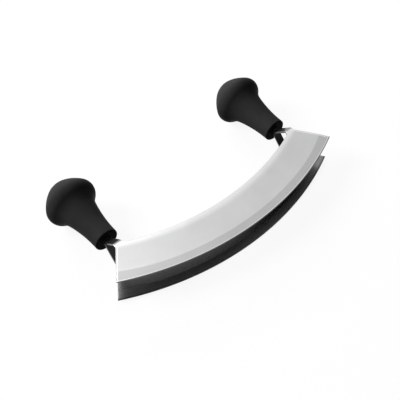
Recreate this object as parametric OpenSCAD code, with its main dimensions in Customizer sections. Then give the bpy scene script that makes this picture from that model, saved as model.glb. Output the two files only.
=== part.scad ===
// Double-bladed mezzaluna: two curved steel blades side by side, held by two knob handles.
// Each blade is one bent sheet. A tang at each end slopes in to the middle, meets the tang of
// the other blade back to back, and both run up inside the knob, which is moulded round them.
// The pieces are drawn in the tool's own axes: X along the blades, Y through them, Z up from
// the cutting edges to the knobs. They are then laid down as the tool rests on a table, on
// both knobs and on the rear blade, with its front blade up.

/* [Blades] */
// Length of each blade between its two lower corners
blade_l = 220; // [190:1:250]
// Radius of the curved cutting edge
edge_r = 250; // [225:1:300]
// Height of the blade from the cutting edge to the spine
blade_h = 32.5; // [26:0.5:38]
// Thickness of the steel sheet
sheet_t = 1.8; // [1.2:0.1:2.4]
// Distance between the middles of the two blades
blade_pitch = 25; // [20:0.5:32]
// Width of the ground bevel along the cutting edge
bevel_w = 6.8; // [4:0.1:10]
// Thickness left at the cutting edge
edge_t = 0.3; // [0.2:0.05:0.6]

/* [Tangs] */
// Width of each tang
tang_w = 7; // [5:0.5:10]
// Distance from the blade's lower corner in to the tang's outer side
tang_inset = 18; // [14:0.5:26]
// Height of the lower bend above the spine at the tang
bend_rise = 2.8; // [2.2:0.1:6]
// Angle of the sloping part from the blade's plane
tang_slope = 43; // [35:1:50]
// Inner radius of the bends
bend_r = 2; // [1:0.25:3]
// Radius between the spine and the tang's inner side
spine_fillet_r = 5; // [3:0.5:7]
// Straight outer side of the tang below the lower bend
end_drop = 1.5; // [0.8:0.1:4]
// Gap left between the two tangs inside a knob
pair_gap = 0.1; // [0.05:0.05:0.4]
// Length of the tang inside the knob
stem_l = 36; // [26:1:44]
// Chamfer at the tip of the tang
stem_chamfer = 1.5; // [0.5:0.25:2.5]

/* [Knobs] */
// Length of a knob from its collar's face to the top of its dome
knob_l = 66; // [60:0.5:74]
// Largest diameter of the knob
knob_d = 43.7; // [41:0.1:48]
// Height of the dome above the widest place
head_h = 19.1; // [17:0.1:22]
// Radius of the domed top
dome_r = 18; // [15:0.5:20]
// Radius of the shoulder between the dome and the rim
shoulder_r = 42; // [34:1:60]
// Radius of the rounded rim where the knob is widest
rim_r = 7.6; // [6:0.1:9]
// Diameter of the stem where it runs into the head
neck_d = 28.2; // [25:0.1:30]
// Distance of that place below the widest place
neck_drop = 13.3; // [12:0.1:15]
// Radius of the hollow between the stem and the rim
neck_r = 17.5; // [8:0.5:22]
// Diameter of the collar
collar_d = 20; // [17:0.1:22]
// Straight length of the collar
collar_l = 2.4; // [2:0.1:6]
// Rounding of the collar's lower edge
collar_round = 1; // [0.5:0.1:1.5]

/* [Moulded joint] */
// Diameter of the hole through both tangs that locks them in the knob
lock_d = 3.4; // [2.4:0.1:4]
// Height of that hole above the collar's face
lock_z = 20; // [10:0.5:22]
// Clearance between a knob and the tangs in it
mould_gap = 0.05; // [0.02:0.01:0.2]
// Distance between the lower bend's end and the collar's face
collar_clear = 0.4; // [0.2:0.1:2]

/* [Hidden] */

steel = [0.80, 0.80, 0.81];
black_plastic = [0.10, 0.10, 0.11];

// Blade outline
spine_r = edge_r - blade_h;
corner_x = blade_l / 2;
corner_z = height_on(edge_r, corner_x);
blade_y = blade_pitch / 2;

// Tang outline, seen from the front
tang_out = corner_x - tang_inset;
tang_in = tang_out - tang_w;
grip_x = tang_out - tang_w / 2;
stem_y = (sheet_t + pair_gap) / 2;

// Bends, seen from the end of the blade
bend_mid_r = bend_r + sheet_t / 2;
bend_run = bend_mid_r * tan(tang_slope / 2);
low_bend_z = height_on(spine_r, tang_in) + bend_rise;
high_bend_z = low_bend_z + (blade_y - stem_y) / tan(tang_slope);
end_top_z = low_bend_z - bend_run - end_drop;
collar_z = high_bend_z + bend_run + collar_clear;
stem_top_z = collar_z + stem_l;

// Fillet between the spine and the tang
fillet_x = tang_in - spine_fillet_r;
fillet_z = height_on(spine_r - spine_fillet_r, fillet_x);
fillet_start = on_arc([0, edge_r], [fillet_x, fillet_z], spine_r);

// Knob outline, in radius and height above the collar's face
collar_r = collar_d / 2;
dome_c = [0, knob_l - dome_r];
rim_c = [knob_d / 2 - rim_r, knob_l - head_h];
shoulder_c = crossing(rim_c, shoulder_r - rim_r, dome_c, shoulder_r - dome_r);
shoulder_end = on_arc(shoulder_c, rim_c, shoulder_r);
dome_end = on_arc(shoulder_c, dome_c, shoulder_r);
flare_out = neck_d / 2 - collar_r;
flare_up = rim_c.y - neck_drop - collar_l;
flare_r = (flare_up * flare_up + flare_out * flare_out) / (2 * flare_out);
flare_c = [collar_r + flare_r, collar_l];
neck_c = crossing(flare_c, flare_r - neck_r, rim_c, rim_r + neck_r);
flare_end = on_arc(flare_c, neck_c, flare_r);
neck_end = on_arc(rim_c, neck_c, rim_r);

// How the tool lies: the tilt at which its rims and one line of the rear blade touch the table
rim_z = collar_z + rim_c.y;
rest_tilt = min(tilt_on(edge_t / 2, 0), tilt_on(sheet_t / 2, bevel_w));
rest_lift = rim_r + rim_c.x * cos(rest_tilt) - rim_z * sin(rest_tilt);
rest_far = (collar_z + dome_c.y) * cos(rest_tilt) + dome_r;
rest_near = -(blade_y + edge_t / 2) * sin(rest_tilt);

arc_fn = 180;
knob_fn = 96;
small_fn = 48;
over = 3;

// Height above the lowest point of the cutting edge of an arc about the blades' centre, at x
function height_on(r, x) = edge_r - sqrt(r * r - x * x);

// Point at distance r from centre c, on the line towards p
function on_arc(c, p, r) = c + r * (p - c) / norm(p - c);

// Crossing of a circle about a with a circle about b, on the left of the way from a to b
function crossing(a, ra, b, rb) =
    let (d = norm(b - a), along = (ra * ra - rb * rb + d * d) / (2 * d),
        side = sqrt(ra * ra - along * along), u = (b - a) / d)
    a + along * u + side * [-u.y, u.x];

// Tilt at which a line of the rear blade, at this half thickness and height, touches the table
function tilt_on(half_t, z) =
    let (a = rim_z - z, b = blade_y + half_t - rim_c.x)
    asin(rim_r / norm([a, b])) - atan2(b, a);

// Lays the tool on the table, with the middle of its footprint on the origin
module at_rest() {
    translate([0, -(rest_far + rest_near) / 2, rest_lift])
        rotate([rest_tilt - 90, 0, 0])
            children();
}

// Extrudes a shape drawn in X and Z through the whole thickness of the tool
module through_y() {
    rotate([90, 0, 0])
        linear_extrude(blade_pitch + 2 * sheet_t + 2 * over, center = true)
            children();
}

// Wedge between the ends of a bend about c, out to s times the vertex v of its middle line
module bend_wedge(c, start, v, end, s) {
    polygon([c, c + s * (start - c), c + s * (v - c), c + s * (end - c)]);
}

// Section of the bent sheet, in Y and Z, from inside the blade up to the tip of the tang.
// A strip with two sharp corners gets its inner radii added and its outer ones cut.
module bent_section() {
    across = bend_mid_r * [cos(tang_slope), sin(tang_slope)];
    mitre = sheet_t / 2 * [1, tan(tang_slope / 2)];
    low = [blade_y, low_bend_z];
    high = [stem_y, high_bend_z];
    low_c = low - [bend_mid_r, bend_run];
    high_c = high + [bend_mid_r, bend_run];
    bends = [[low_c, low_c + [bend_mid_r, 0], low, low_c + across],
        [high_c, high_c - across, high, high_c - [bend_mid_r, 0]]];
    difference() {
        union() {
            polygon([[blade_y - sheet_t / 2, end_top_z - over],
                [blade_y + sheet_t / 2, end_top_z - over], low + mitre, high + mitre,
                [stem_y + sheet_t / 2, stem_top_z], [stem_y - sheet_t / 2, stem_top_z],
                high - mitre, low - mitre]);
            for (b = bends)
                difference() {
                    bend_wedge(b[0], b[1], b[2], b[3], 1);
                    translate(b[0])
                        circle(bend_r, $fn = small_fn);
                }
        }
        for (b = bends)
            difference() {
                bend_wedge(b[0], b[1], b[2], b[3], 2);
                translate(b[0])
                    circle(bend_r + sheet_t, $fn = small_fn);
            }
    }
}

// Outline of the right tang, with its fillet down to the spine
module tang_outline() {
    polygon([[tang_in, end_top_z - over], [tang_out, end_top_z - over],
        [tang_out, stem_top_z - stem_chamfer], [tang_out - stem_chamfer, stem_top_z],
        [tang_in + stem_chamfer, stem_top_z], [tang_in, stem_top_z - stem_chamfer]]);
    difference() {
        polygon([fillet_start, [fillet_start.x, end_top_z - over],
            [grip_x, end_top_z - over], [grip_x, fillet_z], [tang_in, fillet_z]]);
        translate([fillet_x, fillet_z])
            circle(spine_fillet_r, $fn = small_fn);
    }
}

// Outline that cuts the ends of the blade and the top beside the tangs
module blade_outline() {
    top = low_bend_z - bend_run;
    polygon([[-corner_x, -over], [corner_x, -over], [corner_x, corner_z], [tang_out, end_top_z],
        [tang_out, top], [-tang_out, top], [-tang_out, end_top_z], [-corner_x, corner_z]]);
}

// Ring of blade steel, ground to the edge on both faces
module ground_ring() {
    translate([0, blade_y, edge_r])
        rotate([90, 0, 0])
            rotate_extrude($fn = arc_fn)
                polygon([[spine_r, -sheet_t / 2], [edge_r - bevel_w, -sheet_t / 2],
                    [edge_r, -edge_t / 2], [edge_r, edge_t / 2],
                    [edge_r - bevel_w, sheet_t / 2], [spine_r, sheet_t / 2]]);
}

// Right tang of the rear blade, with its lock hole
module tang() {
    difference() {
        intersection() {
            rotate([90, 0, 90])
                linear_extrude(corner_x)
                    bent_section();
            through_y()
                tang_outline();
        }
        lock_bar(lock_d);
    }
}

// Bar through both tangs, at the lock hole
module lock_bar(d) {
    translate([grip_x, 0, collar_z + lock_z])
        rotate([90, 0, 0])
            cylinder(h = collar_d, d = d, center = true, $fn = small_fn);
}

// One blade in the tool's axes, on the rear side
module blade() {
    intersection() {
        ground_ring();
        through_y()
            blade_outline();
    }
    tang();
    mirror([1, 0, 0])
        tang();
}

// Sector of a circle about c, between the directions of a and b
module sector(c, r, a, b, fn) {
    intersection() {
        translate(c)
            circle(r, $fn = fn);
        polygon([c, 2 * a - c, 2 * (a + b - c) - c, 2 * b - c]);
    }
}

// Half section of a knob
module knob_section() {
    difference() {
        union() {
            polygon([[0, 0], [collar_r - collar_round, 0], [collar_r, collar_round],
                [collar_r, collar_l], flare_end, neck_end, rim_c, shoulder_end, dome_end, dome_c]);
            translate([collar_r - collar_round, collar_round])
                circle(collar_round, $fn = small_fn);
            translate(rim_c)
                circle(rim_r, $fn = knob_fn);
            intersection() {
                sector(shoulder_c, shoulder_r, shoulder_end, dome_end, arc_fn);
                square([knob_d, knob_l]);
            }
            sector(dome_c, dome_r, dome_end, [0, knob_l], knob_fn);
        }
        intersection() {
            translate(flare_c)
                circle(flare_r, $fn = arc_fn);
            translate([0, collar_l])
                square([knob_d, flare_end.y - collar_l]);
        }
        translate(neck_c)
            circle(neck_r, $fn = small_fn);
    }
}

// Right knob in the tool's axes, moulded round the two tangs and through their lock holes
module knob() {
    slot_w = tang_w + 2 * mould_gap;
    slot_t = 2 * sheet_t + pair_gap + 2 * mould_gap;
    difference() {
        translate([grip_x, 0, collar_z])
            rotate_extrude($fn = knob_fn)
                knob_section();
        difference() {
            translate([grip_x - slot_w / 2, -slot_t / 2, collar_z - over])
                cube([slot_w, slot_t, stem_l + mould_gap + over]);
            lock_bar(lock_d - 2 * mould_gap);
        }
    }
}

module rear_blade() {
    color(steel)
        at_rest()
            blade();
}

module front_blade() {
    color(steel)
        at_rest()
            mirror([0, 1, 0])
                blade();
}

module right_knob() {
    color(black_plastic)
        at_rest()
            knob();
}

module left_knob() {
    color(black_plastic)
        at_rest()
            mirror([1, 0, 0])
                knob();
}

front_blade();
rear_blade();
left_knob();
right_knob();
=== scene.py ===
"""Looks of a double-bladed mezzaluna: two curved steel blades side by side, held by two knobs.

The tool lies on its back, on both knobs and on its rear blade, with the front blade up. Its pieces
are worked out in the tool's own axes, X along the blades, Y through them and Z from the cutting
edges to the knobs, and are then laid down. All sizes are in metres.
"""

import logging
import math
from collections.abc import Iterable, Mapping, Sequence
from dataclasses import dataclass, field
from enum import Enum
from typing import ClassVar

import bmesh
import bpy
from mathutils import Matrix, Vector


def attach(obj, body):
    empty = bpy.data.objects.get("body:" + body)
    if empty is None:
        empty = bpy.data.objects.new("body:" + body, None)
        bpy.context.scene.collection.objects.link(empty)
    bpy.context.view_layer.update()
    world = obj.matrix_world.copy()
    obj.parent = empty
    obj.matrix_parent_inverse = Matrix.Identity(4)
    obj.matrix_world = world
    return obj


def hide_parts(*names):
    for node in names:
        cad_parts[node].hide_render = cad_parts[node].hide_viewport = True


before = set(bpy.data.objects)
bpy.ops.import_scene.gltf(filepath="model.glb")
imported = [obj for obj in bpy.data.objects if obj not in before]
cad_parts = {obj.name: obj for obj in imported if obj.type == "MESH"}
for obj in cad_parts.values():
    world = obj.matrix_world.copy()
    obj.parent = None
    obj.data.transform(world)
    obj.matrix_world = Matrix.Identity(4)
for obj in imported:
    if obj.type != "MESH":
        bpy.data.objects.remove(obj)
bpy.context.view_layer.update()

LOG = logging.getLogger("mezzaluna")
MM = 0.001
BODY = "root"
IMAGE_SIZE = 400
SENSOR = 36.0
NOISE_LAYERS = 3.0
NOISE_MEAN = 0.5
MIX_SHARE, MIX_LOW, MIX_HIGH = 0, 2, 3
BLEND_LOW, BLEND_HIGH, BLENDED = 6, 7, 2
WELD = 1e-7
SEAM_WELD = 1e-6
TOOL_MIDDLE = (0.0, 0.0, 0.02)

Point = tuple[float, float]
Spot = tuple[float, float, float]
Colour = tuple[float, float, float, float]


class Place(Enum):
    """Which of the two blades: the one towards the camera, or the one that lies on the table."""

    FRONT = "front_blade"
    REAR = "rear_blade"


class Side(Enum):
    """Which end of the tool a knob is on."""

    LEFT = "left_knob"
    RIGHT = "right_knob"


class Slot(Enum):
    """Material slots of the record."""

    STEEL = "blade_steel"
    PLASTIC = "knob_plastic"


class Value:
    """A number that travels on a socket. Python's operators add Math nodes for it."""

    def __init__(self, graph: "Graph", socket: bpy.types.NodeSocket) -> None:
        """Keeps the socket.

        Args:
            graph: The graph that the socket belongs to.
            socket: The output socket that gives the number.
        """
        self.graph = graph
        self.socket = socket

    def math(self, operation: str, *others: "Number", first: bool = True) -> "Value":
        """Adds one Math node.

        Args:
            operation: The node's operation.
            others: The other operands.
            first: Whether this value is the first operand, or else the last.

        Returns:
            The result.
        """
        operands = dict(enumerate([self, *others] if first else [*others, self]))
        return self.graph.value("ShaderNodeMath", {"operation": operation}, operands)

    def __add__(self, other: "Number") -> "Value":
        """Gives the sum."""
        return self.math("ADD", other)

    __radd__ = __add__

    def __sub__(self, other: "Number") -> "Value":
        """Gives the difference."""
        return self.math("SUBTRACT", other)

    def __rsub__(self, other: float) -> "Value":
        """Gives the difference from a number."""
        return self.math("SUBTRACT", other, first=False)

    def __mul__(self, other: "Number") -> "Value":
        """Gives the product."""
        return self.math("MULTIPLY", other)

    __rmul__ = __mul__

    def __truediv__(self, other: "Number") -> "Value":
        """Gives the quotient."""
        return self.math("DIVIDE", other)

    def __rtruediv__(self, other: float) -> "Value":
        """Gives a number over this value."""
        return self.math("DIVIDE", other, first=False)

    def root(self) -> "Value":
        """Gives the square root."""
        return self.math("SQRT")

    def unsigned(self) -> "Value":
        """Gives the number without its sign."""
        return self.math("ABSOLUTE")

    def sin(self) -> "Value":
        """Gives the sine."""
        return self.math("SINE")

    def cos(self) -> "Value":
        """Gives the cosine."""
        return self.math("COSINE")

    def least(self, other: "Number") -> "Value":
        """Gives the smaller of the two."""
        return self.math("MINIMUM", other)

    def most(self, other: "Number") -> "Value":
        """Gives the larger of the two."""
        return self.math("MAXIMUM", other)

    def between(self, low: "Number", high: "Number") -> "Value":
        """Keeps the value between two bounds."""
        return self.most(low).least(high)

    def rise(self, start: float, end: float) -> "Value":
        """Rises smoothly from 0 at start to 1 at end, or falls where end is the smaller.

        Args:
            start: Where the result is 0.
            end: Where the result is 1.

        Returns:
            The smooth step.
        """
        low, high, floor, top = (start, end, 0.0, 1.0) if start < end else (end, start, 1.0, 0.0)
        sockets = {0: self, 1: low, 2: high, 3: floor, 4: top}
        return self.graph.value("ShaderNodeMapRange", {"interpolation_type": "SMOOTHSTEP"}, sockets)


Number = Value | float
Wire = Value | bpy.types.NodeSocket | float | str | Colour | bpy.types.ID
Settings = Mapping[str, object] | None
Sockets = Mapping[int | str, Wire] | None


class Graph:
    """A node tree that is written as code, for a material, a world or a shape."""

    def __init__(self, tree: bpy.types.NodeTree) -> None:
        """Empties the tree.

        Args:
            tree: The tree to write.
        """
        self.tree = tree
        tree.nodes.clear()

    def node(self, kind: str, settings: Settings = None, sockets: Sockets = None) -> bpy.types.Node:
        """Adds a node, with its settings first and then its sockets.

        Args:
            kind: The node's type.
            settings: The node's own properties.
            sockets: Values or links of its inputs, by index or name.

        Returns:
            The node.
        """
        node = self.tree.nodes.new(kind)
        for name, value in (settings or {}).items():
            setattr(node, name, value)
        for key, wire in (sockets or {}).items():
            wire = wire.socket if isinstance(wire, Value) else wire
            if isinstance(wire, bpy.types.NodeSocket):
                self.tree.links.new(wire, node.inputs[key])
            else:
                node.inputs[key].default_value = wire
        return node

    def value(
        self, kind: str, settings: Settings = None, sockets: Sockets = None, output: int | str = 0
    ) -> Value:
        """Adds a node and gives one of its outputs as a value.

        Args:
            kind: The node's type.
            settings: The node's own properties.
            sockets: Values or links of its inputs.
            output: The output's index or name.

        Returns:
            The output's value.
        """
        return Value(self, self.node(kind, settings, sockets).outputs[output])

    def parts(self, vector: Wire) -> tuple[Value, Value, Value]:
        """Gives the three components of a vector."""
        node = self.node("ShaderNodeSeparateXYZ", None, {0: vector})
        return tuple(Value(self, out) for out in node.outputs)

    def vector(self, x: Number, y: Number, z: Number) -> Value:
        """Gives the vector of three components."""
        return self.value("ShaderNodeCombineXYZ", None, {0: x, 1: y, 2: z})

    def blend(self, share: Value, low: Colour | Value, high: Colour | Value) -> Value:
        """Blends two colours.

        Args:
            share: How much of the second, from 0 to 1.
            low: The first colour.
            high: The second colour.

        Returns:
            The blend.
        """
        sockets = {MIX_SHARE: share, BLEND_LOW: low, BLEND_HIGH: high}
        return self.value("ShaderNodeMix", {"data_type": "RGBA"}, sockets, BLENDED)

    def scaled(self, colour: Value, scale: Value) -> Value:
        """Gives a colour times a number."""
        sockets = {0: colour, "Scale": scale}
        return self.value("ShaderNodeVectorMath", {"operation": "SCALE"}, sockets)

    def noise(self, place: Value, scale: float, roughness: float) -> Value:
        """Adds a noise texture, whose values lie about NOISE_MEAN.

        Args:
            place: The texture's coordinates.
            scale: Waves for each unit of them.
            roughness: Strength of the finer layers.

        Returns:
            The noise.
        """
        sockets = {"Vector": place, "Scale": scale, "Detail": NOISE_LAYERS, "Roughness": roughness}
        return self.value("ShaderNodeTexNoise", None, sockets)


def with_nodes(block: bpy.types.Material | bpy.types.World) -> Graph:
    """Gives a material or a world an empty node tree."""
    block.use_nodes = True
    return Graph(block.node_tree)


def in_scene(name: str, data: bpy.types.ID) -> bpy.types.Object:
    """Makes an object of a mesh, a lamp or a camera, in the scene.

    Args:
        name: The object's name.
        data: What it shows.

    Returns:
        The object.
    """
    made = bpy.data.objects.new(name, data)
    bpy.context.scene.collection.objects.link(made)
    return made


def grey(level: float, warmth: float = 0.0) -> Colour:
    """Gives a linear grey, which leans to red with a warmth above 0 and to blue with one below."""
    return (level * (1 + warmth), level, level * (1 - warmth), 1.0)


def height_on(radius: float, centre: float, x: float) -> float:
    """Gives the height at x on the lower half of a circle about (0, centre)."""
    return centre - math.sqrt(radius * radius - x * x)


def part_way(a: Point, b: Point, share: float) -> Point:
    """Gives the point at a share of the way from a to b."""
    return (a[0] + (b[0] - a[0]) * share, a[1] + (b[1] - a[1]) * share)


def on_arc(centre: Point, towards: Point, radius: float) -> Point:
    """Gives the point at a distance from a centre, on the line towards another point."""
    return part_way(centre, towards, radius / math.dist(centre, towards))


def crossing(a: Point, radius_a: float, b: Point, radius_b: float) -> Point:
    """Finds the crossing of two circles that lies on the left of the way from a to b.

    Args:
        a: Centre of the first circle.
        radius_a: Its radius.
        b: Centre of the second circle.
        radius_b: Its radius.

    Returns:
        The crossing.
    """
    dx, dy = b[0] - a[0], b[1] - a[1]
    gap = math.hypot(dx, dy)
    along = (radius_a**2 - radius_b**2 + gap**2) / (2 * gap)
    side = math.sqrt(radius_a**2 - along**2)
    return (a[0] + (along * dx - side * dy) / gap, a[1] + (along * dy + side * dx) / gap)


def arc(centre: Point, start: Point, end: Point, steps: int) -> list[Point]:
    """Lays points on the shorter arc about a centre, with both ends.

    Args:
        centre: The arc's centre.
        start: The first point.
        end: A point in the direction of the last one.
        steps: Number of steps between them.

    Returns:
        The points.
    """
    radius = math.dist(centre, start)
    first = math.atan2(start[1] - centre[1], start[0] - centre[0])
    last = math.atan2(end[1] - centre[1], end[0] - centre[0])
    turn = math.remainder(last - first, math.tau)
    angles = [first + turn * i / steps for i in range(steps + 1)]
    return [(centre[0] + radius * math.cos(a), centre[1] + radius * math.sin(a)) for a in angles]


def spread(start: Point, end: Point, steps: int) -> list[Point]:
    """Gives evenly spaced points from start to end, with both."""
    return [part_way(start, end, i / steps) for i in range(steps + 1)]


def sag(start: Point, low: Point, end: Point, steps: int) -> list[Point]:
    """Gives points on a smooth curve from start to end that is drawn towards a third point."""
    pairs = zip(spread(start, low, steps), spread(low, end, steps))
    return [part_way(a, b, i / steps) for i, (a, b) in enumerate(pairs)]


def mirrored(line: Sequence[Point]) -> list[Point]:
    """Gives a line's mirror image to the left, still from left to right."""
    return [(-x, z) for x, z in reversed(line)]


def bevel_width(along: Value, width: Number, gain: Number, start: Number, run: Number) -> Value:
    """Works out the bevel's width along a blade: the grinding runs wider towards the ends.

    Args:
        along: Distance from the blade's middle.
        width: The width at the middle.
        gain: How much wider it is at the ends.
        start: Where it starts to widen.
        run: From there to the end.

    Returns:
        The width.
    """
    share = ((along.unsigned() - start) / run).between(0.0, 1.0)
    return share * share * gain + width


@dataclass(frozen=True)
class ToolSizes:
    """Sizes that more than one piece of the tool depends on."""

    blade_length: float = 220 * MM
    edge_radius: float = 250 * MM
    blade_height: float = 32.5 * MM
    sheet: float = 1.8 * MM
    pitch: float = 25 * MM
    bevel: float = 6.8 * MM
    bevel_gain: float = 2.4 * MM
    gain_from: float = 62 * MM
    edge: float = 0.3 * MM
    tang_width: float = 7 * MM
    tang_inset: float = 18 * MM
    bend_rise: float = 2.8 * MM
    tang_slope: float = math.radians(43)
    bend_radius: float = 2 * MM
    fillet: float = 5 * MM
    end_drop: float = 1.5 * MM
    pair_gap: float = 0.1 * MM
    stem: float = 36 * MM
    stem_chamfer: float = 1.5 * MM
    collar_clear: float = 0.4 * MM
    knob_length: float = 66 * MM
    knob_across: float = 43.7 * MM
    head_height: float = 19.1 * MM
    rim_radius: float = 7.6 * MM
    dome_radius: float = 18 * MM

    @property
    def edge_centre(self) -> Point:
        """Centre of the cutting edge and of the spine."""
        return (0.0, self.edge_radius)

    @property
    def spine_radius(self) -> float:
        """Radius of the spine, about the cutting edge's own centre."""
        return self.edge_radius - self.blade_height

    @property
    def half_length(self) -> float:
        """Distance from a blade's middle to its corners."""
        return self.blade_length / 2

    @property
    def corner(self) -> Point:
        """Right lower corner of a blade."""
        return (self.half_length, height_on(self.edge_radius, self.edge_radius, self.half_length))

    @property
    def gain_run(self) -> float:
        """Length over which the bevel widens, up to the corner."""
        return self.half_length - self.gain_from

    def bevel_at(self, x: float) -> float:
        """Gives the bevel's width at x along the blade."""
        share = max(0.0, min(1.0, (abs(x) - self.gain_from) / self.gain_run))
        return self.bevel + self.bevel_gain * share * share

    @property
    def fold(self) -> float:
        """Height of the flat blank's lower fold, where the tangs start to bend."""
        return self.low_bend - self.bend_run

    @property
    def end_top(self) -> Point:
        """Right upper corner of a blade, where the tang's outer side starts."""
        return (self.tang_out, self.fold - self.end_drop)

    @property
    def end_inwards(self) -> Point:
        """Direction, of length 1, that is square to a blade's right end and points inwards."""
        low, top = self.corner, self.end_top
        return on_arc((0.0, 0.0), (low[1] - top[1], top[0] - low[0]), 1.0)

    @property
    def tang_out(self) -> float:
        """Outer side of the right tang."""
        return self.half_length - self.tang_inset

    @property
    def tang_in(self) -> float:
        """Inner side of the right tang."""
        return self.tang_out - self.tang_width

    @property
    def fillet_centre(self) -> Point:
        """Centre of the round between the spine and the right tang's inner side."""
        x = self.tang_in - self.fillet
        return (x, height_on(self.spine_radius - self.fillet, self.edge_radius, x))

    @property
    def tang_root(self) -> Point:
        """Point of the spine where that round starts."""
        return on_arc(self.edge_centre, self.fillet_centre, self.spine_radius)

    @property
    def grip_x(self) -> float:
        """Middle of the right tang and axis of the right knob."""
        return self.tang_out - self.tang_width / 2

    @property
    def stem_y(self) -> float:
        """Distance from the tool's middle to the middle of a stem's thickness."""
        return (self.sheet + self.pair_gap) / 2

    @property
    def bend_middle(self) -> float:
        """Radius of a bend, at the middle of the sheet."""
        return self.bend_radius + self.sheet / 2

    @property
    def bend_run(self) -> float:
        """Distance from a bend's sharp corner to either of its ends."""
        return self.bend_middle * math.tan(self.tang_slope / 2)

    @property
    def slope_length(self) -> float:
        """Length of a tang's flat slope, between its two bends."""
        return (self.pitch / 2 - self.stem_y) / math.sin(self.tang_slope) - 2 * self.bend_run

    @property
    def low_bend(self) -> float:
        """Height of the lower bend's sharp corner."""
        return height_on(self.spine_radius, self.edge_radius, self.tang_in) + self.bend_rise

    @property
    def collar_z(self) -> float:
        """Height of the knobs' collar faces."""
        high = self.low_bend + (self.pitch / 2 - self.stem_y) / math.tan(self.tang_slope)
        return high + self.bend_run + self.collar_clear

    @property
    def rim_centre(self) -> Point:
        """Centre of the rim's round, in radius and height above the collar's face."""
        return (self.knob_across / 2 - self.rim_radius, self.knob_length - self.head_height)

    def laid_down(self) -> Matrix:
        """Works out how the tool lies on its knobs and on one line of its rear blade.

        Returns:
            The matrix from the tool's axes to the table's.
        """
        rim_z = self.collar_z + self.rim_centre[1]

        def tilt_on(half: float, z: float) -> float:
            """Gives the tilt at which a line of the rear blade touches the table."""
            a, b = rim_z - z, self.pitch / 2 + half - self.rim_centre[0]
            return math.asin(self.rim_radius / math.hypot(a, b)) - math.atan2(b, a)

        tilt = min(tilt_on(self.edge / 2, 0), tilt_on(self.sheet / 2, self.bevel))
        lift = self.rim_radius + self.rim_centre[0] * math.cos(tilt) - rim_z * math.sin(tilt)
        top = self.collar_z + self.knob_length - self.dome_radius
        far = top * math.cos(tilt) + self.dome_radius
        near = -(self.pitch / 2 + self.edge / 2) * math.sin(tilt)
        turned = Matrix.Rotation(tilt - math.pi / 2, 4, "X")
        return Matrix.Translation((0, -(far + near) / 2, lift)) @ turned


@dataclass(frozen=True)
class Finish:
    """A procedural surface finish."""

    CONSTANTS: ClassVar[Mapping[str, float]] = {}

    name: str
    slot: Slot
    rough_bounds: Point = (0.08, 0.8)
    bump_strength: float = 0.12
    bump_height: float = 0.02 * MM

    def surface(self, graph: Graph) -> tuple[Value, Value, Value]:
        """Writes what varies over the surface.

        Args:
            graph: The material's graph.

        Returns:
            The colour, the roughness and the height of the relief.
        """
        raise NotImplementedError

    def material(self) -> bpy.types.Material:
        """Makes the finish's material, once.

        Returns:
            The material.
        """
        found = bpy.data.materials.get(self.name)
        if found is not None:
            return found
        made = bpy.data.materials.new(self.name)
        graph = with_nodes(made)
        colour, rough, height = self.surface(graph)
        relief = {"Strength": self.bump_strength, "Distance": self.bump_height, "Height": height}
        looks = {
            "Base Color": colour,
            "Roughness": rough.between(*self.rough_bounds),
            "Normal": graph.value("ShaderNodeBump", None, relief),
        }
        shader = graph.node("ShaderNodeBsdfPrincipled", None, {**self.CONSTANTS, **looks})
        graph.node("ShaderNodeOutputMaterial", None, {"Surface": shader.outputs[0]})
        return made


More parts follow.
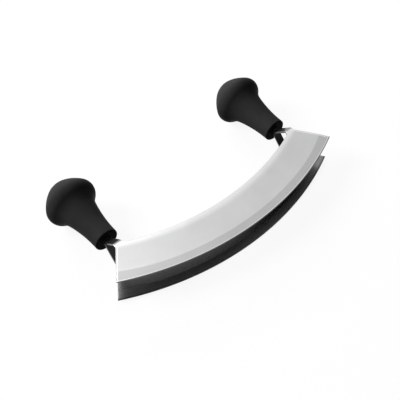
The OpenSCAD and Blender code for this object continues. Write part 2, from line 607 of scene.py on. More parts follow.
@dataclass(frozen=True)
class SatinSteel(Finish):
    """Ground blade steel with a satin polish, a coarser bevel and a hone along the edge. It has
    painted shade on the inner side, the tangs and the apex, and painted highlights along the spine,
    at the ends and on the hone.

    It reads the attribute that the sheet's tree leaves: where a point was on the flat blank, along
    and up it, and how far through the sheet it is, from -1 on the inner face to 1 on the outer.
    """

    CONSTANTS = {"Metallic": 1.0}

    sizes: ToolSizes = field(default_factory=ToolSizes)

    # Linear greys: the faces, the tangs, the bevels, the hone and the spine band. Painted shade
    # darkens the inner side and the apex. A painted dark reflection of the knobs darkens the tangs'
    # outer slopes. Painted highlights lighten the spine band, the ends and the hone.
    outer: float = 0.53
    inner: float = 0.22
    tang: float = 0.2
    shaded_inner_tang: float = 0.11
    ground: float = 0.425
    shaded_inner_ground: float = 0.209
    honed_highlight: float = 0.66
    apex: float = 0.10
    spine_highlight: float = 0.72
    end_highlight: float = 0.9
    outer_tint: float = -0.004
    inner_tint: float = -0.01

    # Widths, and the places on the blank where one look gives way to the next.
    core: float = 0.5
    hone_width: float = 1.25 * MM
    apex_width: float = 0.7 * MM
    inner_rim: float = 0.8 * MM
    line_blur: float = 0.1 * MM
    bevel_blur: float = 0.4 * MM
    band_fade: Point = (7.5 * MM, 0.5 * MM)
    band_loss: float = 0.35
    tang_fade: float = 2 * MM
    slope_fade: Point = (-1.5 * MM, 2.5 * MM)
    end_rise: Point = (0.8 * MM, 1.1 * MM)
    end_fall: Point = (1.7 * MM, 1.4 * MM)
    end_strength: float = 0.7

    # Painted shade: the inner faces get darker from mid-length on, nearly up to the right end.
    inner_shade_depth: float = 0.65
    shade_from: Point = (0.0, 80 * MM)
    shade_to: Point = (99 * MM, 91 * MM)

    # The grinding's lines, in waves a metre along and across the blade, and the cloudy patches.
    face_lines: Point = (60.0, 9000.0)
    bevel_lines: Point = (7000.0, 90.0)
    line_noise: float = 0.6
    cloud_scale: float = 55.0
    cloud_noise: float = 0.5
    cloud_depth: float = 0.01
    line_marks: float = 0.10
    cloud_marks: float = 0.12
    inner_marks: float = 0.2

    # Roughness, and what each area adds to it.
    rough: float = 0.32
    bevel_rough: float = 0.06
    hone_rough: float = -0.14
    band_rough: float = -0.04
    inner_rough: float = -0.085
    line_rough: float = 0.10
    cloud_rough: float = 0.06

    def surface(self, graph: Graph) -> tuple[Value, Value, Value]:
        """Writes the faces, the bevel, the hone and the brushing, with painted shade and painted
        highlights.

        Args:
            graph: The material's graph.

        Returns:
            The colour, the roughness and the height of the relief.
        """
        s = self.sizes
        blank = graph.node("ShaderNodeAttribute", {"attribute_name": Blade.BLANK})
        along, through, up = graph.parts(blank.outputs["Vector"])
        drop = s.edge_radius - up
        radius = (along * along + drop * drop).root()
        depth = s.edge_radius - radius
        swing = along.math("ARCTAN2", drop) * s.edge_radius

        outside = through.rise(-self.core, self.core)
        inside = 1 - outside
        past_bevel = depth - bevel_width(along, s.bevel, s.bevel_gain, s.gain_from, s.gain_run)
        on_bevel = past_bevel.rise(self.bevel_blur, -self.bevel_blur)
        blur = self.line_blur
        # The hone is smoother, and is also painted lighter as a highlight.
        on_hone = depth.rise(self.hone_width + blur, self.hone_width - blur) * outside
        # Painted shade: a dark line along the apex, wider on the inner side.
        from_apex = depth - inside * self.inner_rim
        on_apex = from_apex.rise(self.apex_width + blur, self.apex_width - blur)
        off_tang = 1 - up.rise(s.low_bend - self.tang_fade, s.low_bend)
        on_slope = up.rise(*(s.fold + way for way in self.slope_fade))
        # Painted highlight: a lighter band along the spine, narrower towards the ends, where the
        # steel is also a little smoother.
        ends = along * along / s.half_length**2
        near_spine = ((radius - s.spine_radius) / (1 - ends * self.band_loss)).rise(*self.band_fade)
        band = near_spine * off_tang * outside
        # Painted highlight: a light line along each end of the blade, on its outer face.
        end_x, end_z = s.end_inwards
        from_end = (along.unsigned() - s.corner[0]) * end_x + (up - s.corner[1]) * end_z
        end_line = from_end.rise(*self.end_rise) * from_end.rise(*self.end_fall)

        fine, cross = (
            graph.noise(graph.vector(swing * u, depth * v, through), 1.0, self.line_noise)
            for u, v in (self.face_lines, self.bevel_lines)
        )
        sockets = {MIX_SHARE: on_bevel, MIX_LOW: fine, MIX_HIGH: cross}
        lines = graph.value("ShaderNodeMix", None, sockets) - NOISE_MEAN
        cloud_place = graph.vector(swing, depth, through * self.cloud_depth)
        cloud = graph.noise(cloud_place, self.cloud_scale, self.cloud_noise) - NOISE_MEAN

        outer, ground = (grey(level, self.outer_tint) for level in (self.outer, self.ground))
        dark = (self.tang, self.shaded_inner_tang, self.inner, self.shaded_inner_ground)
        tang, shaded_inner_tang, inner, shaded_inner_ground = (grey(level, self.inner_tint) for level in dark)
        # Painted shade: the inner faces, the inner bevel and the inner side of the tangs are much
        # darker greys than the outer side, for the shade between the two blades.
        hidden = graph.blend(off_tang, shaded_inner_tang, inner)
        # Painted dark reflection: the tangs' outer slopes are a darker grey than the outer faces,
        # for the dark knobs that they mirror.
        base = graph.blend(outside, hidden, graph.blend(on_slope, outer, tang))
        base = graph.blend(on_bevel, base, graph.blend(outside, shaded_inner_ground, ground))
        # Painted light laid over the base: highlights on the spine band, the ends and the hone, and
        # shade on the apex.
        layers = (
            (band, self.spine_highlight),
            (end_line * off_tang * outside * self.end_strength, self.end_highlight),
            (on_hone, self.honed_highlight),
            (on_apex, self.apex),
        )
        for share, level in layers:
            base = graph.blend(share, base, grey(level))
        # Painted shade: the inner faces darken from mid-length towards the right end.
        painted_shade = along.rise(*self.shade_from) * along.rise(*self.shade_to) * inside
        marks = lines * self.line_marks + cloud * self.cloud_marks
        marks = marks * (outside * (1 - self.inner_marks) + self.inner_marks)
        shade = (1 + marks) * (1 - painted_shade * self.inner_shade_depth)

        rough = self.rough + on_bevel * self.bevel_rough + on_hone * self.hone_rough
        rough = rough + band * self.band_rough + inside * self.inner_rough
        rough = rough + (lines * self.line_rough + cloud * self.cloud_rough) * outside
        return graph.scaled(base, shade), rough, lines


@dataclass(frozen=True)
class MattePlastic(Finish):
    """Black moulded plastic with a fine matte grain and faint marks of handling.

    The collar's flat face is painted darkest, as the shade that falls on it.
    """

    CONSTANTS = {"IOR": 1.04}

    rough_bounds: Point = (0.2, 0.8)
    bump_strength: float = 0.5
    bump_height: float = 0.05 * MM
    black: float = 0.024
    tint: float = -0.02
    handled_share: float = 1.25
    handled_from: Point = (0.35, 0.7)
    # Painted shade on the collar's flat face: how dark it is, and over what height it fades.
    collar_shade: float = 0.35
    face_fade: Point = (0.2 * MM, 1.2 * MM)
    grain: float = 0.35 * MM
    grain_noise: float = 0.55
    patch_scale: float = 45.0
    patch_noise: float = 0.5
    rough: float = 0.44
    grain_rough: float = 0.10
    patch_rough: float = -0.10

    def surface(self, graph: Graph) -> tuple[Value, Value, Value]:
        """Writes the grain, the handled patches and the painted shade on the collar's face.

        Args:
            graph: The material's graph.

        Returns:
            The colour, the roughness and the height of the relief.
        """
        place = graph.value("ShaderNodeTexCoord", output="Object")
        grain = graph.noise(place, 1 / self.grain, self.grain_noise)
        handled = graph.noise(place, self.patch_scale, self.patch_noise)
        height = graph.value("ShaderNodeAttribute", {"attribute_name": Knob.HEIGHT}, None, "Fac")
        fresh, worn = (grey(self.black * k, self.tint) for k in (1.0, self.handled_share))
        shade = graph.blend(handled.rise(*self.handled_from), fresh, worn)
        # Painted shade: the collar's flat face is a darker black, for the shade that falls on it.
        shade = graph.blend(height.rise(*self.face_fade), grey(self.black * self.collar_shade), shade)
        rough = self.rough + (grain - NOISE_MEAN) * self.grain_rough
        return shade, rough + (handled - NOISE_MEAN) * self.patch_rough, grain


class Shaper:
    """A Geometry Nodes tree with named sizes, and what bakes it into a plain mesh."""

    def __init__(self, name: str, sizes: Sequence[str]) -> None:
        """Starts the tree.

        Args:
            name: The tree's name.
            sizes: Names of its inputs, all lengths or plain numbers.
        """
        self.tree = bpy.data.node_groups.new(name, "GeometryNodeTree")
        self.graph = Graph(self.tree)
        face = self.tree.interface
        face.new_socket("Geometry", in_out="INPUT", socket_type="NodeSocketGeometry")
        face.new_socket("Geometry", in_out="OUTPUT", socket_type="NodeSocketGeometry")
        self.keys = {
            size: face.new_socket(size, in_out="INPUT", socket_type="NodeSocketFloat").identifier
            for size in sizes
        }
        source = self.graph.node("NodeGroupInput")
        self.geometry = source.outputs["Geometry"]
        self.size = {size: Value(self.graph, source.outputs[size]) for size in sizes}

    def close(self, geometry: bpy.types.NodeSocket, finish: Finish) -> None:
        """Ends the tree with real, smooth geometry and its material.

        Args:
            geometry: What the tree has made.
            finish: The finish of all its faces.
        """
        smooth = self.graph.node("GeometryNodeSetShadeSmooth", None, {0: geometry})
        real = self.graph.node("GeometryNodeRealizeInstances", None, {0: smooth.outputs[0]})
        sockets = {"Geometry": real.outputs[0], "Material": finish.material()}
        dressed = self.graph.node("GeometryNodeSetMaterial", None, sockets)
        self.graph.node("NodeGroupOutput", None, {0: dressed.outputs[0]})

    def bake(self, source: bpy.types.Mesh, sizes: Mapping[str, float], name: str) -> bpy.types.Mesh:
        """Runs the tree on a mesh.

        Args:
            source: The mesh that goes in.
            sizes: A number for each of the tree's inputs.
            name: The new mesh's name.

        Returns:
            The plain mesh that comes out.
        """
        carrier = in_scene(name + "_blank", source)
        shaper = carrier.modifiers.new("shape", "NODES")
        shaper.node_group = self.tree
        for size, number in sizes.items():
            shaper[self.keys[size]] = float(number)
        graph = bpy.context.evaluated_depsgraph_get()
        evaluated = carrier.evaluated_get(graph)
        baked = bpy.data.meshes.new_from_object(
            evaluated, preserve_all_data_layers=True, depsgraph=graph
        )
        baked.name = name
        carrier.modifiers.remove(shaper)
        bpy.data.objects.remove(carrier)
        return baked


def put_down(mesh: bpy.types.Mesh, place: Matrix, node: str) -> bpy.types.Object:
    """Makes a mesh a finished piece that stands for a node of the frame.

    Args:
        mesh: The piece's mesh, in the tool's axes, with the piece's name.
        place: From the tool's axes to the table's, mirrored or not.
        node: The node that it replaces.

    Returns:
        The piece.
    """
    mesh.transform(place)
    shell = bmesh.new()
    shell.from_mesh(mesh)
    bmesh.ops.recalc_face_normals(shell, faces=shell.faces)
    shell.to_mesh(mesh)
    shell.free()
    piece = in_scene(mesh.name, mesh)
    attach(piece, BODY)
    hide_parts(node)
    return piece


@dataclass
class Blade:
    """The blades: each a ground ring of sheet steel with two tangs folded from the same sheet."""

    BLANK = "blank"
    THROUGH = "through"
    ON_FACE = 0.999
    SHARPEST = 0.3

    sizes: ToolSizes
    finish: SatinSteel
    rim_round: float = 0.4 * MM
    rim_share: float = 0.9
    root_sag: float = 2 * MM
    apex: float = 0.05 * MM
    bevel_rows: Point = (2.6 * MM, 4.7 * MM)
    hone_slack: float = 0.02 * MM
    bevel_slack: float = 0.15 * MM
    middle_columns: int = 84
    tang_columns: int = 10
    body_rows: int = 10
    root_rows: int = 4
    bend_rows: int = 9
    slope_rows: int = 10
    stem_rows: int = 10
    rim_steps: int = 4

    def depth_of(self, x: float, up: float) -> float:
        """Gives how far from the cutting edge a point of the flat blank is."""
        return self.sizes.edge_radius - math.hypot(x, self.sizes.edge_radius - up)

    def half_thickness(self, x: float, up: float) -> float:
        """Works out half the sheet's thickness at a point of the flat blank.

        Args:
            x: The point's place along the blank.
            up: Its height.

        Returns:
            Half the thickness.
        """
        s = self.sizes
        depth = self.depth_of(x, up)
        ground = s.edge / 2 + (s.sheet - s.edge) / 2 * depth / s.bevel_at(x)
        tip = self.apex + (ground - self.apex) * depth / self.finish.hone_width
        return max(self.apex, min(s.sheet / 2, ground, max(tip, self.apex)))

    def outline(self) -> tuple[list[Point], list[Point]]:
        """Lays out the body's lower and upper outline, with as many points each.

        Returns:
            The cutting edge, and the spine with the roots of both tangs, from left to right.
        """
        s = self.sizes
        start, left_start = s.tang_root, mirrored([s.tang_root])[0]
        middle = arc(s.edge_centre, left_start, start, self.middle_columns)
        root = sag(start, (s.tang_in, start[1] - self.root_sag), s.end_top, self.tang_columns)
        below, left_below = (on_arc(s.edge_centre, p, s.edge_radius) for p in (start, left_start))
        long_edge = arc(s.edge_centre, left_below, below, self.middle_columns)
        short_edge = arc(s.edge_centre, below, s.corner, self.tang_columns)
        edge = mirrored(short_edge[1:]) + long_edge[:-1] + short_edge
        return edge, mirrored(root[1:]) + middle[:-1] + root

    def at_depth(self, low: Point, top: Point, depth: float) -> Point:
        """Finds the point of a column of the blank at a depth from the cutting edge.

        Args:
            low: The column's point on the cutting edge.
            top: Its upper end.
            depth: The depth.

        Returns:
            The point.
        """
        radius = self.sizes.edge_radius
        dx, dz = top[0] - low[0], top[1] - low[1]
        run = math.hypot(dx, dz)
        ux, uz = dx / run, dz / run
        px, pz = low[0], low[1] - radius
        half = px * ux + pz * uz
        step = -half - math.sqrt(half * half - (px * px + pz * pz - (radius - depth) ** 2))
        return (low[0] + ux * step, low[1] + uz * step)

    def body_lines(self) -> list[list[Point]]:
        """Lays out the body's rows on the flat blank.

        Returns:
            The rows, from the edge to the spine.
        """
        columns = list(zip(*self.outline()))
        depths = (0.0, self.finish.hone_width, *self.bevel_rows)
        rows = [[self.at_depth(low, top, depth) for low, top in columns] for depth in depths]
        bevel = [self.at_depth(low, top, self.sizes.bevel_at(low[0])) for low, top in columns]
        shares = [i / self.body_rows for i in range(self.body_rows + 1)]
        return rows + [[part_way(b, top, t) for b, (_, top) in zip(bevel, columns)] for t in shares]

    def inner_side(self, up: float) -> float:
        """Works out the right tang's inner side, with the round at its root.

        Args:
            up: The height on the blank.

        Returns:
            The side's X.
        """
        s = self.sizes
        if up > s.fold:
            turn = (up - s.fold) / s.bend_middle
            up = s.fold + s.bend_middle * math.sin(min(turn, math.pi / 2))
        x, z = s.fillet_centre
        return s.tang_in if up >= z else x + math.sqrt(max(s.fillet**2 - (z - up) ** 2, 0.0))

    def tang_lines(self) -> list[list[Point]]:
        """Lays out the right tang's rows on the flat blank.

        Returns:
            The rows, from the tang's root to its tip.
        """
        s = self.sizes
        bend = (s.bend_middle * s.tang_slope, self.bend_rows)
        stem = (s.collar_clear + s.stem - s.stem_chamfer, self.stem_rows)
        heights = [s.fold]
        for length, count in (bend, (s.slope_length, self.slope_rows), bend, stem):
            heights += [heights[-1] + length * (i + 1) / count for i in range(count)]
        levels = spread((s.tang_root[1], s.end_top[1]), (s.fold, s.fold), self.root_rows)[1:]
        levels += [(up, up) for up in heights[1:]]
        rows = [self.outline()[1][-self.tang_columns - 1 :]]
        for left, right in levels:
            inner, outer = (self.inner_side(left), left), (s.tang_out, right)
            rows.append(spread(inner, outer, self.tang_columns))
        tip, cut = heights[-1] + s.stem_chamfer, s.stem_chamfer
        rows.append(spread((s.tang_in + cut, tip), (s.tang_out - cut, tip), self.tang_columns))
        return rows

    def flat_layer(self) -> bmesh.types.BMesh:
        """Makes the blank as one flat layer of faces, in X and Z.

        Returns:
            The layer.
        """
        flat = bmesh.new()
        tang = self.tang_lines()
        for lines in (self.body_lines(), tang, [mirrored(row) for row in tang]):
            verts = [[flat.verts.new((x, 0, z)) for x, z in row] for row in lines]
            for lower, upper in zip(verts, verts[1:]):
                for i in range(len(lower) - 1):
                    flat.faces.new((lower[i], lower[i + 1], upper[i + 1], upper[i]))
        bmesh.ops.remove_doubles(flat, verts=flat.verts, dist=WELD)
        flat.verts.index_update()
        return flat

    def rim_ring(self, x: float, up: float) -> list[Point]:
        """Works out the rounded rim at a point of the blank's outline.

        Args:
            x: The point's place along the blank.
            up: Its height.

        Returns:
            Steps inwards, each with how far through the sheet it is, from 1 to -1.
        """
        half = self.half_thickness(x, up)
        turn = min(self.rim_round, self.rim_share * half)
        quarter = [math.pi / 2 * i / self.rim_steps for i in range(self.rim_steps + 1)]
        ring = [(turn * (1 - math.sin(a)), 1 - turn * (1 - math.cos(a)) / half) for a in quarter]
        return ring + [(step, -share) for step, share in reversed(ring)]

    def blank(self) -> bpy.types.Mesh:
        """Makes the blank as a thin closed shell, still flat, with rounded rims.

        Returns:
            The mesh, in X and Z, with how far through the sheet each point is as an attribute.
        """
        flat = self.flat_layer()
        shell = bmesh.new()
        through = shell.verts.layers.float.new(self.THROUGH)
        inwards = self.rim_directions(flat)
        chains: list[list[bmesh.types.BMVert]] = []
        for vert in flat.verts:
            x, z = vert.co.x, vert.co.z
            way = inwards.get(vert.index, Vector())
            ring = self.rim_ring(x, z) if vert.index in inwards else [(0.0, 1.0), (0.0, -1.0)]
            chains.append([])
            for step, share in ring:
                point = shell.verts.new((x + way.x * step, share * MM, z + way.z * step))
                point[through] = share
                chains[-1].append(point)
        for face in flat.faces:
            shell.faces.new([chains[v.index][0] for v in face.verts])
            shell.faces.new([chains[v.index][-1] for v in reversed(face.verts)])
        for edge in flat.edges:
            if edge.is_boundary:
                a, b = (chains[v.index] for v in edge.verts)
                for i in range(len(a) - 1):
                    shell.faces.new((a[i], a[i + 1], b[i + 1], b[i]))
        flat.free()
        bmesh.ops.recalc_face_normals(shell, faces=shell.faces)
        made = bpy.data.meshes.new("blade_blank")
        shell.to_mesh(made)
        shell.free()
        return made

    def rim_directions(self, flat: bmesh.types.BMesh) -> dict[int, Vector]:
        """Works out the way inwards from each point of the blank's outline.

        Args:
            flat: The blank, as one layer of faces.

        Returns:
            For each outline point, by its index, the step that takes both its sides in by 1.
        """
        inwards: dict[int, list[Vector]] = {}
        for edge in flat.edges:
            if not edge.is_boundary:
                continue
            run = (edge.verts[1].co - edge.verts[0].co).normalized()
            side = Vector((-run.z, 0, run.x))
            centre = edge.link_faces[0].calc_center_median()
            if (centre - edge.verts[0].co).dot(side) < 0:
                side.negate()
            for vert in edge.verts:
                inwards.setdefault(vert.index, []).append(side)
        return {
            index: (one + other) / max(1 + one.dot(other), self.SHARPEST)
            for index, (one, other) in inwards.items()
        }

    def shaper(self, names: Sequence[str]) -> Shaper:
        """Writes the tree that grinds the blank's edge and folds its tangs.

        Args:
            names: Names of its inputs.

        Returns:
            The tree.
        """
        shaper = Shaper("grind_and_fold", names)
        g, size = shaper.graph, shaper.size
        along, _, up = g.parts(g.value("GeometryNodeInputPosition"))
        attribute = {"data_type": "FLOAT"}
        through = g.value("GeometryNodeInputNamedAttribute", attribute, {"Name": self.THROUGH})
        drop = size["Edge Radius"] - up
        depth = size["Edge Radius"] - (along * along + drop * drop).root()
        growth = (size[name] for name in ("Bevel", "Bevel Gain", "Gain From", "Gain Run"))
        bevel = bevel_width(along, *growth)
        ground = size["Edge Half"] + (size["Half Sheet"] - size["Edge Half"]) * depth / bevel
        tip = size["Apex Half"] + (ground - size["Apex Half"]) * depth / size["Hone"]
        half = ground.least(tip).between(size["Apex Half"], size["Half Sheet"])

        bend, slope, length = size["Bend Radius"], size["Slope"], size["Slope Length"]
        fold, blade_y = size["Fold"], size["Blade Y"]
        bend_length = bend * slope
        above = up - fold
        first = (above / bend).between(0.0, slope)
        flat = (above - bend_length).between(0.0, length)
        second = ((above - bend_length - length) / bend).between(0.0, slope)
        rest = (above - bend_length * 2 - length).most(0.0)
        left = slope - second
        y = blade_y - bend * (1 - first.cos()) - flat * slope.sin()
        y = y - bend * (left.cos() - slope.cos())
        z = up.least(fold) + bend * first.sin() + flat * slope.cos()
        z = z + bend * (slope.sin() - left.sin()) + rest
        lean = first - second
        folded = g.vector(along, y + through * half * lean.cos(), z + through * half * lean.sin())
        place = g.vector(along, through, up)
        kept = g.node(
            "GeometryNodeStoreNamedAttribute",
            {"data_type": "FLOAT_VECTOR", "domain": "POINT"},
            {"Geometry": shaper.geometry, "Name": self.BLANK, "Value": place},
        )
        sockets = {"Geometry": kept.outputs[0], "Position": folded}
        moved = g.node("GeometryNodeSetPosition", None, sockets)
        shaper.close(moved.outputs[0], self.finish)
        return shaper

    def mark_sharp(self, mesh: bpy.types.Mesh) -> None:
        """Marks the lines where flat faces end, so that they stay flat.

        Args:
            mesh: A folded blade.
        """
        shell = bmesh.new()
        shell.from_mesh(mesh)
        blank = shell.verts.layers.float_vector[self.BLANK]
        for edge in shell.edges:
            ends = [v[blank] for v in edge.verts]
            depths = [self.depth_of(p.x, p.z) for p in ends]
            on_face = all(abs(p.y) > self.ON_FACE for p in ends)
            least = [min(abs(v[blank].y) for v in face.verts) for face in edge.link_faces]
            rims = {through < self.ON_FACE for through in least}
            on_hone = all(abs(d - self.finish.hone_width) < self.hone_slack for d in depths)
            off_bevel = [abs(d - self.sizes.bevel_at(p.x)) for d, p in zip(depths, ends)]
            if on_face and (on_hone or max(off_bevel) < self.bevel_slack or len(rims) == 2):
                edge.smooth = False
        shell.to_mesh(mesh)
        shell.free()

    def build(self) -> list[bpy.types.Object]:
        """Makes both blades.

        Returns:
            The two pieces.
        """
        s = self.sizes
        sizes = {
            "Half Sheet": s.sheet / 2,
            "Edge Half": s.edge / 2,
            "Apex Half": self.apex,
            "Bevel": s.bevel,
            "Bevel Gain": s.bevel_gain,
            "Gain From": s.gain_from,
            "Gain Run": s.gain_run,
            "Hone": self.finish.hone_width,
            "Edge Radius": s.edge_radius,
            "Blade Y": s.pitch / 2,
            "Fold": s.fold,
            "Bend Radius": s.bend_middle,
            "Slope": s.tang_slope,
            "Slope Length": s.slope_length,
        }
        shaper = self.shaper(list(sizes))
        pieces = []
        for place in Place:
            mesh = shaper.bake(self.blank(), sizes, place.value + "_steel")
            self.mark_sharp(mesh)
            flip = Matrix.Scale(-1, 4, (0, 1, 0)) if place is Place.FRONT else Matrix.Identity(4)
            pieces.append(put_down(mesh, s.laid_down() @ flip, place.value))
        return pieces


@dataclass
class Knob:
    """The moulded knobs: each a collar, a flared stem and a domed head in one piece."""

    HEIGHT = "height"
    NUDGE = 1e-4

    sizes: ToolSizes
    finish: MattePlastic
    shoulder_radius: float = 42 * MM
    neck_across: float = 28.2 * MM
    neck_drop: float = 13.3 * MM
    neck_radius: float = 17.5 * MM
    collar_across: float = 20 * MM
    collar_length: float = 2.4 * MM
    collar_round: float = 1 * MM
    around: int = 144
    steps: tuple[int, ...] = (6, 6, 3, 16, 10, 12, 8, 10, 12)

    def outline(self) -> list[Point]:
        """Works out the knob's half outline.

        Returns:
            Points in radius and height, from the middle of the collar's face to the dome's top.
        """
        s = self.sizes
        collar = self.collar_across / 2
        shoulder, neck = self.shoulder_radius, self.neck_radius
        dome_c = (0.0, s.knob_length - s.dome_radius)
        rim_c = s.rim_centre
        shoulder_c = crossing(rim_c, shoulder - s.rim_radius, dome_c, shoulder - s.dome_radius)
        out = self.neck_across / 2 - collar
        up = rim_c[1] - self.neck_drop - self.collar_length
        flare = (up * up + out * out) / (2 * out)
        flare_c = (collar + flare, self.collar_length)
        neck_c = crossing(flare_c, flare - neck, rim_c, s.rim_radius + neck)
        round_c = (collar - self.collar_round, self.collar_round)
        marks = (
            (0.0, 0.0),
            (round_c[0], 0.0),
            (collar, self.collar_round),
            (collar, self.collar_length),
            on_arc(flare_c, neck_c, flare),
            on_arc(rim_c, neck_c, s.rim_radius),
            (rim_c[0] + s.rim_radius, rim_c[1]),
            on_arc(shoulder_c, rim_c, shoulder),
            on_arc(shoulder_c, dome_c, shoulder),
            (0.0, s.knob_length),
        )
        centres = (None, round_c, None, flare_c, neck_c, rim_c, rim_c, shoulder_c, dome_c)
        line = [marks[0]]
        for centre, start, end, steps in zip(centres, marks, marks[1:], self.steps):
            stretch = arc(centre, start, end, steps) if centre else spread(start, end, steps)
            line += stretch[1:]
        return line

    def shaper(self, points: int) -> Shaper:
        """Writes the tree that turns the outline about the knob's axis.

        Args:
            points: Number of points of the outline.

        Returns:
            The tree.
        """
        shaper = Shaper("turned_knob", ("Around",))
        g = shaper.graph
        counts = {"Vertices X": self.around + 1, "Vertices Y": points}
        grid = g.node("GeometryNodeMeshGrid", None, counts)
        index = g.value("GeometryNodeInputIndex")
        step = (index / float(points) + self.NUDGE).math("FLOOR")
        row = index - step * float(points)
        profile = g.value("GeometryNodeInputPosition")
        sampled = g.value(
            "GeometryNodeSampleIndex",
            {"data_type": "FLOAT_VECTOR", "domain": "POINT"},
            {"Geometry": shaper.geometry, "Value": profile, "Index": row},
        )
        radius, _, height = g.parts(sampled)
        turn = step * math.tau / shaper.size["Around"]
        placed = g.vector(radius * turn.cos(), radius * turn.sin(), height)
        sockets = {"Geometry": grid.outputs[0], "Position": placed}
        turned = g.node("GeometryNodeSetPosition", None, sockets)
        kept = g.node(
            "GeometryNodeStoreNamedAttribute",
            {"data_type": "FLOAT", "domain": "POINT"},
            {"Geometry": turned.outputs[0], "Name": self.HEIGHT, "Value": height},
        )
        sockets = {"Geometry": kept.outputs[0], "Distance": SEAM_WELD}
        welded = g.node("GeometryNodeMergeByDistance", None, sockets)
        shaper.close(welded.outputs[0], self.finish)
        return shaper

    def build(self) -> list[bpy.types.Object]:
        """Makes both knobs.

        Returns:
            The two pieces.
        """
        s = self.sizes
        points = self.outline()
        shaper = self.shaper(len(points))
        pieces = []
        for side in Side:
            profile = bpy.data.meshes.new("knob_profile")
            links = [(i, i + 1) for i in range(len(points) - 1)]
            profile.from_pydata([(r, 0, z) for r, z in points], links, [])
            mesh = shaper.bake(profile, {"Around": self.around}, side.value + "_plastic")
            x = s.grip_x if side is Side.RIGHT else -s.grip_x
            place = s.laid_down() @ Matrix.Translation((x, 0, s.collar_z))
            pieces.append(put_down(mesh, place, side.value))
        return pieces


@dataclass(frozen=True)
class Viewpoint:
    """The camera, by what it aims at and from where."""

    aim: Spot = (-0.01194, -0.01835, 0.022)
    azimuth: float = math.radians(38.98)
    elevation: float = math.radians(48.997)
    roll: float = math.radians(-2.28)
    distance: float = 0.60876
    focal_pixels: float = 779.85
    nearest: float = 0.01

    def build(self) -> None:
        """Makes the camera and sets it as the scene's."""
        ahead, down = math.cos(self.elevation), math.sin(self.elevation)
        view = Vector((math.sin(self.azimuth) * ahead, math.cos(self.azimuth) * ahead, -down))
        level = view.cross(Vector((0, 0, 1))).normalized()
        upright = level.cross(view)
        right = level * math.cos(self.roll) + upright * math.sin(self.roll)
        lens = bpy.data.cameras.new("camera")
        lens.sensor_fit = "HORIZONTAL"
        lens.sensor_width = SENSOR
        lens.lens = self.focal_pixels / IMAGE_SIZE * SENSOR
        lens.clip_start = self.nearest
        camera = in_scene("camera", lens)
        turned = Matrix((right, right.cross(view), -view)).transposed().to_4x4()
        camera.matrix_world = Matrix.Translation(Vector(self.aim) - view * self.distance) @ turned
        bpy.context.scene.camera = camera


def facing(place: Spot) -> Matrix:
    """Gives the matrix that puts a thing at a place and turns its face to the tool."""
    way = Vector(TOOL_MIDDLE) - Vector(place)
    return Matrix.Translation(place) @ way.to_track_quat("-Z", "Y").to_matrix().to_4x4()


def painted_sheet(
    name: str, size: Point, turn: Matrix, paint: bpy.types.Material
) -> bpy.types.Object:
    """Makes a flat sheet for the studio.

    Args:
        name: The sheet's name.
        size: Its width and height.
        turn: From the sheet's own axes to the table's.
        paint: Its material.

    Returns:
        The sheet.
    """
    w, h = (side / 2 for side in size)
    mesh = bpy.data.meshes.new(name)
    corners = [turn @ Vector((x, y, 0)) for x, y in ((-w, -h), (w, -h), (w, h), (-w, h))]
    mesh.from_pydata(corners, [], [(0, 1, 2, 3)])
    mesh.materials.append(paint)
    return in_scene(name, mesh)


@dataclass(frozen=True)
class Softbox:
    """One soft studio lamp that faces the tool, and that bright metal may or may not mirror."""

    name: str
    place: Spot
    size: Point
    watts: float
    mirrored: bool = True

    def build(self) -> None:
        """Makes the lamp."""
        light = bpy.data.lights.new(self.name, "AREA")
        light.shape = "RECTANGLE"
        light.size, light.size_y = self.size
        light.energy = self.watts
        lamp = in_scene(self.name, light)
        lamp.visible_glossy = self.mirrored
        lamp.matrix_world = facing(self.place)


@dataclass(frozen=True)
class Card:
    """A matte black card beside the table, which only reflections show."""

    name: str
    place: Spot
    size: Point
    black: float = 0.01

    def build(self) -> None:
        """Makes the card."""
        paint = bpy.data.materials.new(self.name)
        graph = with_nodes(paint)
        matte = graph.node("ShaderNodeBsdfDiffuse", None, {"Color": grey(self.black)})
        graph.node("ShaderNodeOutputMaterial", None, {"Surface": matte.outputs[0]})
        card = painted_sheet(self.name, self.size, facing(self.place), paint)
        card.visible_camera = False


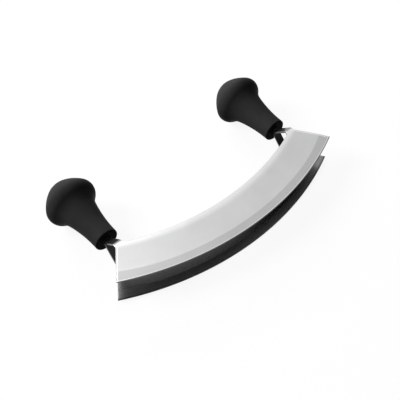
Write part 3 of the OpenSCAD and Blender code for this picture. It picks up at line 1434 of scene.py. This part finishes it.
@dataclass(frozen=True)
class Studio:
    """A plain pale floor, white surroundings, soft lamps, and a black card to be mirrored."""

    floor_size: float = 12.0
    floor_white: float = 0.9
    floor_bounce: float = 0.3
    shadow_share: float = 0.10
    shadow_reach: Point = (0.9, 0.3)
    fill: float = 0.12
    boxes: tuple[Softbox, ...] = (
        Softbox("key_box", (-0.9, 0.75, 1.0), (0.7, 0.7), 25.0),
        Softbox("back_box", (0.45, 1.5, 0.55), (1.8, 0.9), 42.0, mirrored=False),
        Softbox("top_box", (0.05, 0.5, 1.5), (0.8, 0.8), 2.0),
    )
    cards: tuple[Card, ...] = (Card("dark_card", (0.55, -1.05, 0.3), (1.6, 0.6)),)

    @staticmethod
    def background_share(graph: Graph) -> Value:
        """Finds the rays that show the background, straight or in a reflection.

        Args:
            graph: The graph of the floor or of the world.

        Returns:
            1 for such rays, and 0 for the others.
        """
        path = graph.node("ShaderNodeLightPath")
        kinds = ("Camera", "Glossy", "Transmission")
        camera, glossy, clear = (Value(graph, path.outputs[f"Is {kind} Ray"]) for kind in kinds)
        return (camera + glossy + clear).least(1.0)

    def build_world(self) -> None:
        """Makes the surroundings: white where they are seen, and softer as light."""
        world = bpy.data.worlds.new("studio_white")
        graph = with_nodes(world)
        strength = self.background_share(graph) * (1 - self.fill) + self.fill
        sky = graph.node("ShaderNodeBackground", None, {"Color": grey(1.0), "Strength": strength})
        graph.node("ShaderNodeOutputWorld", None, {"Surface": sky.outputs[0]})
        bpy.context.scene.world = world

    def build_floor(self) -> None:
        """Makes the floor, which reads white and keeps a faint shadow near the tool."""
        paint = bpy.data.materials.new("pale_floor")
        graph = with_nodes(paint)
        seen = self.background_share(graph)
        across, deep, _ = graph.parts(graph.value("ShaderNodeTexCoord", output="Object"))
        near_tool = (across * across + deep * deep).root().rise(*self.shadow_reach)
        colour = graph.blend(seen, grey(self.floor_bounce), grey(self.floor_white))
        matte = graph.node("ShaderNodeBsdfDiffuse", None, {"Color": colour})
        glow = graph.node("ShaderNodeEmission", None, {"Color": grey(1.0), "Strength": 1.0})
        share = seen * (1 - near_tool * self.shadow_share)
        sockets = {0: share, 1: matte.outputs[0], 2: glow.outputs[0]}
        both = graph.node("ShaderNodeMixShader", None, sockets)
        graph.node("ShaderNodeOutputMaterial", None, {"Surface": both.outputs[0]})
        size = (self.floor_size, self.floor_size)
        floor = painted_sheet("floor", size, Matrix.Identity(4), paint)

    def build(self) -> None:
        """Makes the floor, the surroundings, the lamps and the card."""
        self.build_world()
        self.build_floor()
        for item in (*self.boxes, *self.cards):
            item.build()
        bpy.context.scene.view_settings.view_transform = "Standard"


def main() -> None:
    """Builds the tool and its studio, and logs each piece's faces and size."""
    logging.basicConfig(level=logging.INFO, format="%(name)s: %(message)s")
    sizes = ToolSizes()
    Viewpoint().build()
    Studio().build()
    steel = SatinSteel("satin_steel", Slot.STEEL, sizes=sizes)
    plastic = MattePlastic("matte_plastic", Slot.PLASTIC)
    for group in (Blade(sizes, steel), Knob(sizes, plastic)):
        for piece in group.build():
            spans = [round(side / MM, 2) for side in piece.dimensions]
            LOG.info("%s: %d faces, %s mm", piece.name, len(piece.data.polygons), spans)


if __name__ == "__main__":
    main()
